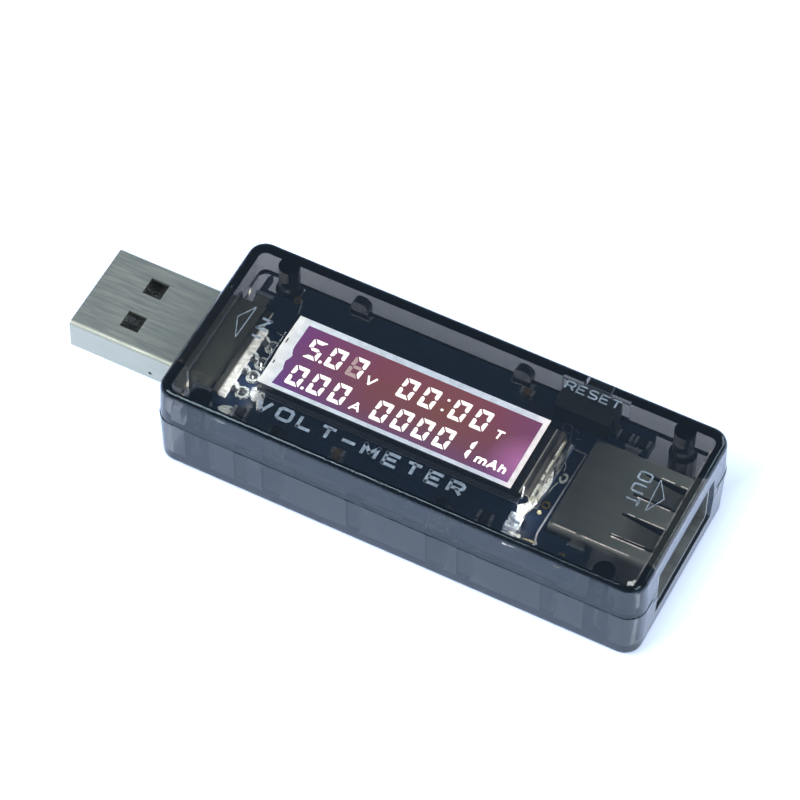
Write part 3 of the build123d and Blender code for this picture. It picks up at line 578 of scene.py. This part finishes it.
# ---------------------------------------------------------------- pieces
def border_outlines():
    """Outlines of the lit border: three straight strips, and a left one with a ragged edge and two slots."""
    left, right, front, back = BORDER_LEFT_MM, BORDER_RIGHT_MM, BORDER_FRONT_MM, BORDER_BACK_MM
    inner = [(-18.80, FILM_SIDE_MM), (-18.84, 2.4), (-18.88, 1.5), (-18.86, 0.8), (-18.72, 0.3),
             (-18.50, -0.1), (-18.62, -0.6), (-18.86, -1.1), (-18.74, -1.7), (-18.56, -2.2),
             (-18.80, -FILM_SIDE_MM)]
    slots = [(-20.02, 1.15, 1.85), (-19.95, -2.0, -1.5)]
    outer = [(left, back), (left - 0.05, 2.7), (left - 0.08, 0.0), (left + 0.02, -1.7), (left, front)]
    strips = [
        [(left, back), (left, FILM_SIDE_MM), (right, FILM_SIDE_MM), (right, back)],
        [(left, -FILM_SIDE_MM), (left, front), (right, front), (right, -FILM_SIDE_MM)],
        [(FILM_RIGHT_MM, FILM_SIDE_MM), (FILM_RIGHT_MM, -FILM_SIDE_MM),
         (right, -FILM_SIDE_MM), (right, FILM_SIDE_MM)],
    ]
    edges = sorted({y for _, y in inner} | {y for _, low, high in slots for y in (low, high)}, reverse=True)
    for high, low in zip(edges, edges[1:]):
        middle = (high + low) / 2
        cuts = [x for x, start, end in slots if start <= middle <= end]
        spans = [(at(outer, high), at(outer, low), at(inner, high), at(inner, low))]
        if cuts:
            a, b, c, d = spans[0]
            spans = [(a, b, cuts[0] - 0.08, cuts[0] - 0.08), (cuts[0] + 0.08, cuts[0] + 0.08, c, d)]
        strips += [[(a, high), (b, low), (d, low), (c, high)] for a, b, c, d in spans]
    return strips


def at(points, y):
    """x of a falling chain of points at a height."""
    for (x0, y0), (x1, y1) in zip(points, points[1:]):
        if y1 <= y <= y0:
            return x0 + (x1 - x0) * (y0 - y) / (y0 - y1)
    return points[-1][0]


def build_display():
    """The lit border, segments and unit letters that lie on the display."""
    white = lit("lit_segment", (0.98, 0.98, 1.0), 3.5, 0.3 * MM, 0.06)
    faint = lit("faint_segment", (0.62, 0.47, 0.50), 1.9, 0.3 * MM, 0.1)
    low, high = FILM_TOP_MM + 0.002, FILM_TOP_MM + SEGMENT_THICK_MM
    border = [(low, high - 0.004, outline) for outline in border_outlines()]
    new_piece("display_border", border, backlit_border())
    volts = digits("5.07", -17.6, UPPER_ROW_MM, 2.62, low, high)
    fading = digits("--o", -17.6, UPPER_ROW_MM, 2.62, low, high)
    amps = digits("0.00", -17.7, LOWER_ROW_MM, 2.62, low, high)
    hours = digits("00", -6.1, UPPER_ROW_MM, 2.66, low, high)
    hours += digits("00", 0.25, UPPER_ROW_MM, 2.66, low, high)
    hours += [(low, high, circle(x, y, 0.17, 0.17, DOT_SIDES)) for x, y in ((-0.46, 2.46), (-0.56, 0.96))]
    charge = digits("00001", -7.3, LOWER_ROW_MM, 2.55, low, high)
    new_piece("volt_digits", volts, white)
    new_piece("fading_segments", fading, faint)
    new_piece("amp_digits", amps, white)
    new_piece("time_digits", hours, white)
    new_piece("charge_digits", charge, white)
    row = LOWER_ROW_MM
    places = [("V", -9.95, 0.2, 1.3), ("A", -9.85, row, 1.35), ("T", 5.85, 0.17, 1.15)]
    units = lettering(places, 1.3, 0.23, low, high, 0.0, DIGIT_SLANT)
    places = [("m", 5.5, row, 1.35), ("A", 6.95, row, 1.25), ("h", 8.35, row, 0.85)]
    units += lettering(places, 1.35, 0.27, low, high, 0.0, DIGIT_SLANT)
    new_piece("unit_letters", units, white)


def build_prints():
    """White legends printed on the cover: a generic name along the front, and what the ends and button do."""
    ink = solid("print_ink", (0.50, 0.57, 0.62), 0.5, 0.5 * MM, 0.0, 2e-6, 0.3)
    high = COVER_TOP_MM - PRINT_DEPTH_MM
    low = high - PRINT_THICK_MM
    legend = lettering(row_of("VOLT-METER", -18.5, -9.45, 1.95, 2.6), 1.82, 0.4, low, high)
    new_piece("front_legend", legend, ink)
    reset = lettering(row_of("RESET", 10.3, 8.85, 1.15, 1.38), 1.2, 0.2, low, high)
    new_piece("reset_legend", reset, ink)
    down = -math.pi / 2
    places = [("O", 22.5, 2.85, 1.3), ("U", 22.5, 1.15, 1.25), ("T", 22.5, -0.4, 1.45)]
    out = lettering(places, 1.65, 0.22, low, high, down)
    out += [(low, high, q) for q in stroke([(24.96, 2.65), (26.34, 0.48), (25.16, -1.83)], 0.11, True)]
    new_piece("out_legend", out, ink)
    up = math.pi / 2
    inward = lettering([("I", -22.0, -1.1, 1.0), ("N", -22.0, 0.4, 1.7)], 1.42, 0.3, low, high, up)
    inward += [(low, high, q) for q in stroke([(-24.6, 3.0), (-25.87, 0.91), (-24.75, -1.76)], 0.11, True)]
    new_piece("in_legend", inward, ink)


def build_board_marks():
    """White outlines and short marks printed on the board, beside its parts."""
    ink = solid("board_ink", (0.75, 0.77, 0.82), 0.5, 0.4 * MM, 0.0, 2e-6, 0.12)
    low, high = BOARD_TOP_MM + 0.002, BOARD_TOP_MM + 0.02
    lines = [
        ([(13.1, 3.9), (13.2, 4.45), (15.42, 4.35), (15.2, -7.4), (15.4, -8.3), (15.85, -8.9)], 0.2),
        ([(16.45, 7.3), (16.45, 8.35)], 0.13), ([(19.95, 7.3), (19.95, 8.35)], 0.13),
        ([(-21.9, 8.7), (-21.45, 6.7)], 0.13), ([(-22.4, 3.4), (-21.0, 3.2)], 0.16),
    ]
    faint = solid("worn_board_ink", (0.16, 0.20, 0.30), 0.5, 0.4 * MM, 0.0, 2e-6, 0.3)
    worn = [
        ([(12.0, 5.0), (11.4, 7.2), (12.4, 7.15), (13.1, 5.0)], 0.26), ([(11.75, 6.1), (12.7, 6.1)], 0.2),
        ([(12.65, 7.3), (13.3, 7.2)], 0.2), ([(12.9, 6.8), (13.5, 6.65)], 0.18),
        ([(13.45, 5.75), (14.1, 5.9)], 0.18), ([(14.4, 8.1), (14.8, 8.05)], 0.3),
    ]
    new_piece("board_marks", pen_prisms(lines, low, high), ink)
    new_piece("worn_board_marks", pen_prisms(worn, low, high), faint)


def build_light_leaks():
    """Clear glue at the display's corners, painted glowing where it carries the backlight out, and painted
    glints where that light falls on the board.
    """
    # Painted light: these finishes glow in patches in place of backlight caught on glue, pads, joints and
    # film.
    glue = patchy_glow("lit_glue", (0.88, 0.95, 1.0), 2.0, 0.7 * MM)
    hot = patchy_glow("painted_bright_glow", (0.97, 1.0, 1.0), 3.0, 0.55 * MM)
    dull = patchy_glow("painted_dim_glow", (0.55, 0.62, 0.62), 1.2, 0.7 * MM)
    warm = patchy_glow("pad_painted_warm_glow", (0.85, 0.80, 0.50), 1.4, 0.5 * MM)
    glare = patchy_glow("film_shine", (0.92, 0.98, 0.96), 2.1, 0.9 * MM, 0.55)
    top = BOARD_TOP_MM
    left_glue = [(-20.95, -4.9), (-20.2, -4.55), (-19.35, -5.0), (-19.1, -5.8), (-19.0, -6.75), (-19.3, -7.1),
                 (-19.7, -6.3), (-20.35, -6.15), (-20.8, -5.8)]
    new_piece("left_glue", [(top, top + 0.6, left_glue)], glue)
    corner_pad = [(-23.2, -8.75), (-22.75, -8.25), (-22.0, -8.0), (-21.3, -8.15), (-21.0, -8.85),
                  (-21.9, -9.4), (-23.0, -9.3)]
    new_piece("corner_pad", [(top, top + 0.2, corner_pad)], dull)
    right_glue = [(11.85, -5.35), (12.4, -4.9), (12.85, -4.3), (13.3, -3.75), (13.65, -4.15), (13.35, -4.95),
                  (13.1, -5.6), (13.0, -6.2), (12.5, -6.3), (12.1, -6.15)]
    new_piece("right_glue", [(top + 0.1, top + 0.5, right_glue)], hot)
    front_glow = [(12.2, -8.95), (12.75, -8.6), (13.8, -8.6), (14.0, -9.15), (13.1, -9.35), (12.3, -9.35)]
    new_piece("front_glow", [(top, top + 0.25, front_glow)], hot)
    long_pad = [(14.0, -8.85), (14.7, -8.65), (15.3, -8.6), (15.8, -8.95), (15.0, -9.2), (14.2, -9.15)]
    small_pad = [(14.0, -4.75), (14.3, -4.65), (14.5, -4.95), (14.3, -5.2), (14.0, -5.1)]
    new_piece("front_pads", [(top, top + 0.15, long_pad), (top + 0.02, top + 0.1, small_pad)], warm)
    # Light along the crest of the film connector, and down its tail.
    crest = [(12.82, 3.6), (12.95, 3.6), (13.02, 0.2), (13.12, -4.1), (12.84, -4.3), (12.82, -0.6)]
    new_piece("crest_glare", [(FILM_CREST_MM, FILM_CREST_MM + 0.03, crest)], glare)
    streak = [(13.35, 0.5), (13.6, -0.2), (13.82, -0.9), (13.85, -1.7), (13.8, -2.4), (13.65, -3.2),
              (13.35, -2.9), (13.25, -2.0), (13.28, -1.1)]
    new_piece("film_glare", [(top + 0.55, top + 0.6, streak)], glare)
    # Glints round the solder joints beside the film connector, and on the diode's outline.
    arcs = [([(13.5, 2.85), (13.85, 2.3), (14.15, 1.9), (14.25, 1.2)], 0.06),
            ([(14.3, -0.45), (14.1, -1.2), (14.0, -1.85), (14.05, -2.55)], 0.1)]
    new_piece("joint_arcs", pen_prisms(arcs, top + 0.05, top + 0.12), dull)
    ring = stroke(circle(14.62, 0.33, 0.36, 0.55), 0.22, True)
    new_piece("joint_ring", [(top, top + 0.2, quad) for quad in ring], dull)
    diode = stroke([(12.0, -6.6), (13.2, -6.6), (13.3, -8.35), (11.9, -8.35)], 0.16, True)
    new_piece("led_outline", [(top + 0.62, top + 0.66, quad) for quad in diode], glue)
    # Teeth of light between the plug's bar and its solder joints, and the lit shoulders of the joints.
    rows = (1.2, -1.3, -3.3, -5.8)
    teeth = [([(-23.1, y + 0.75), (-22.75, y + 0.6), (-22.35, y + 0.25)], 0.5) for y in rows]
    new_piece("comb_teeth", pen_prisms(teeth, top + 0.4, top + 0.45), glue)
    shoulders = [quad for y in rows for quad in stroke(circle(-21.7, y, 0.62, 0.68), 0.24, True)]
    new_piece("joint_shoulders", [(top + 0.3, top + 0.34, quad) for quad in shoulders], dull)


def build_spring_glints():
    """Painted highlights along the slits of the socket's spring fingers, and along the shell's front edge."""
    low, high = SOCKET_TOP_MM + 0.005, SOCKET_TOP_MM + 0.02
    slit_glint = patchy_glow("painted_slit_glint", (0.90, 0.86, 0.86), 2.3, 0.9 * MM, 0.3)
    lines = [([(24.3, 4.75), (27.5, 4.72)], 0.12), ([(23.0, 1.22), (26.9, 1.22)], 0.1),
             ([(23.0, -1.22), (27.6, -1.22)], 0.1), ([(22.6, -4.68), (26.6, -4.68)], 0.12),
             ([(22.5, -4.36), (26.4, -4.3)], 0.05), ([(16.4, -6.1), (21.9, -6.12), (25.5, -6.1)], 0.1)]
    new_piece("spring_glints", pen_prisms(lines, low, high), slit_glint)


def build_edge_glints():
    """Light where the roof meets the end wall: a faint line, and a bright spot in the front corner."""
    low, high = INNER_EDGE_MM - 0.12, INNER_EDGE_MM - 0.04
    line = patchy_glow("edge_light", (0.62, 0.60, 0.62), 0.9, 1.2 * MM, 0.3)
    edge = [([(27.92, 9.9), (27.94, 2.0), (27.90, -9.6)], 0.12)]
    new_piece("edge_line", pen_prisms(edge, low, high), line)
    spot = patchy_glow("corner_light", (0.90, 0.95, 1.0), 2.2, 0.5 * MM, 0.3)
    corner = [([(27.86, -9.7), (27.7, -10.2), (27.2, -10.42)], 0.26)]
    new_piece("corner_glint", pen_prisms(corner, low, high), spot)


def build_crinkled_film():
    """The film connector's tail: a thin sheet with lengthwise folds, between its bend and the board."""
    bm = bmesh.new()
    rows, columns = 64, 14
    grid = []
    for j in range(rows + 1):
        y = TAIL_SIDE_MM * (1 - 2 * j / rows)
        line = []
        for i in range(columns + 1):
            t = i / columns
            x = TAIL_START_MM + TAIL_REACH_MM * t * (0.75 + 0.25 * math.sin(1.1 * y))
            fold = 0.10 * math.sin(5.5 * t + 0.9 * y) + 0.07 * math.sin(11.0 * t - 1.7 * y)
            z = BOARD_TOP_MM + 0.32 + 0.45 * (1 - t) ** 2 + fold * t * (1.3 - t)
            line.append(bm.verts.new((x * MM, y * MM, z * MM)))
        grid.append(line)
    for j in range(rows):
        for i in range(columns):
            bm.faces.new((grid[j][i], grid[j + 1][i], grid[j + 1][i + 1], grid[j][i + 1]))
    mesh = bpy.data.meshes.new("flex_tail")
    bm.to_mesh(mesh)
    bm.free()
    for face in mesh.polygons:
        face.use_smooth = True
    mesh.materials.append(crinkled_film())
    tail = bpy.data.objects.new("flex_tail", mesh)
    bpy.context.scene.collection.objects.link(tail)
    thicken = tail.modifiers.new("thickness", "SOLIDIFY")
    thicken.thickness = 0.03 * MM
    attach(tail, "meter")


# ---------------------------------------------------------------- stage
def build_floor():
    """A plain pale floor, with a painted shadow under the case and beyond two of its sides."""
    mesh = bpy.data.meshes.new("floor")
    bm = bmesh.new()
    half = FLOOR_HALF
    places = ((-half, -half), (half, -half), (half, half), (-half, half))
    bm.faces.new([bm.verts.new((x, y, -FLOOR_DROP)) for x, y in places])
    bm.to_mesh(mesh)
    bm.free()
    floor = bpy.data.objects.new("floor", mesh)
    bpy.context.scene.collection.objects.link(floor)
    material, tree, shader = new_material("floor_paper")
    tone = ramp(tree, noise(tree, 40 * MM), [(0.3, (0.86, 0.87, 0.88)), (0.7, (0.90, 0.90, 0.90))])
    tree.links.new(tone, shader.inputs["Base Color"])
    shader.inputs["Roughness"].default_value = 0.9
    shader.inputs["Emission Color"].default_value = (0.66, 0.83, 1.30, 1.0)
    split = own_axes(tree)
    # The light fades under the case: at once on the plug's side and in front, slowly on the two shaded sides.
    sides = [("X", -29.3, -27.3), ("X", 27.3, 33.0), ("Y", -12.3, -10.3), ("Y", 10.3, 22.0)]
    light = None
    for axis, start, end in sides:
        near, far = (0.85, 0.06) if start < 0 else (0.06, 0.85)
        level = spread(tree, split.outputs[axis], near, far, start * MM, end * MM)
        light = level if light is None else combine(tree, "MAXIMUM", light, level)
    tree.links.new(light, shader.inputs["Emission Strength"])
    mesh.materials.append(material)


def add_area(name, place, target, size, power, colour, hidden=False):
    """A soft rectangular light, which the camera doesn't see when it is hidden."""
    data = bpy.data.lights.new(name, "AREA")
    data.shape = "RECTANGLE"
    data.size, data.size_y = size
    data.energy = power
    data.color = colour
    light = bpy.data.objects.new(name, data)
    bpy.context.scene.collection.objects.link(light)
    light.location = place
    light.rotation_mode = "QUATERNION"
    light.rotation_quaternion = (Vector(target) - Vector(place)).to_track_quat("-Z", "Y")
    if hidden:
        light.visible_camera = False
        light.visible_transmission = False


def light_stage():
    """Soft studio light, with nothing bright where the cover's flat top would mirror it."""
    world = bpy.data.worlds.new("studio")
    bpy.context.scene.world = world
    world.use_nodes = True
    world.node_tree.nodes["Background"].inputs["Color"].default_value = (0.60, 0.75, 1.0, 1.0)
    world.node_tree.nodes["Background"].inputs["Strength"].default_value = 0.5
    add_area("key", (-0.5, -0.55, 0.75), (0, 0, 0), (0.6, 0.5), 6.5, (0.95, 0.98, 1.0))
    add_area("fill", (0.75, -0.2, 0.6), (0, 0, 0), (0.5, 0.5), 3.5, (0.86, 0.94, 1.0))
    add_area("back", (0.45, 0.75, 0.45), (0, 0, 0), (0.7, 0.35), 3.5, (0.88, 0.95, 1.0))
    # The backlight leaks out of the display's two ends and lights what is next to them.
    add_area("left_leak", (-0.0206, -0.0020, 0.0104), (-0.0235, -0.0020, 0.0092), (0.009, 0.0006), 0.0018,
             (0.95, 0.98, 1.0), True)
    add_area("right_leak", (0.0122, -0.0056, 0.0101), (0.0140, -0.0050, 0.0088), (0.004, 0.0008), 0.0005,
             (0.9, 0.95, 1.0), True)


def place_camera():
    """The camera at the photograph's viewing angle."""
    a, e, r = (math.radians(v) for v in (CAMERA_AZIMUTH, CAMERA_ELEVATION, CAMERA_ROLL))
    back = Vector((math.sin(a) * math.cos(e), -math.cos(a) * math.cos(e), math.sin(e)))
    level = Vector((math.cos(a), math.sin(a), 0.0))
    rise = back.cross(level)
    right = math.cos(r) * level + math.sin(r) * rise
    up = -math.sin(r) * level + math.cos(r) * rise
    data = bpy.data.cameras.new("camera")
    data.sensor_width = SENSOR_WIDTH
    data.lens = CAMERA_LENS
    data.clip_start = 0.01
    data.clip_end = 5.0
    camera = bpy.data.objects.new("camera", data)
    bpy.context.scene.collection.objects.link(camera)
    place = Vector(CAMERA_TARGET_MM) * MM + back * CAMERA_DISTANCE_MM * MM
    axes = Matrix((right, up, back)).transposed().to_4x4()
    camera.matrix_world = Matrix.Translation(place) @ axes
    bpy.context.scene.camera = camera


def set_view():
    """Plain colour response and enough bounces for light to pass through the walls of the case."""
    scene = bpy.context.scene
    scene.view_settings.view_transform = "Standard"
    scene.cycles.max_bounces = 24
    scene.cycles.transmission_bounces = 20
    scene.cycles.transparent_max_bounces = 16
    scene.cycles.use_denoising = True


paint_nodes()
build_display()
build_prints()
build_board_marks()
build_light_leaks()
build_spring_glints()
build_edge_glints()
build_crinkled_film()
build_floor()
light_stage()
place_camera()
set_view()
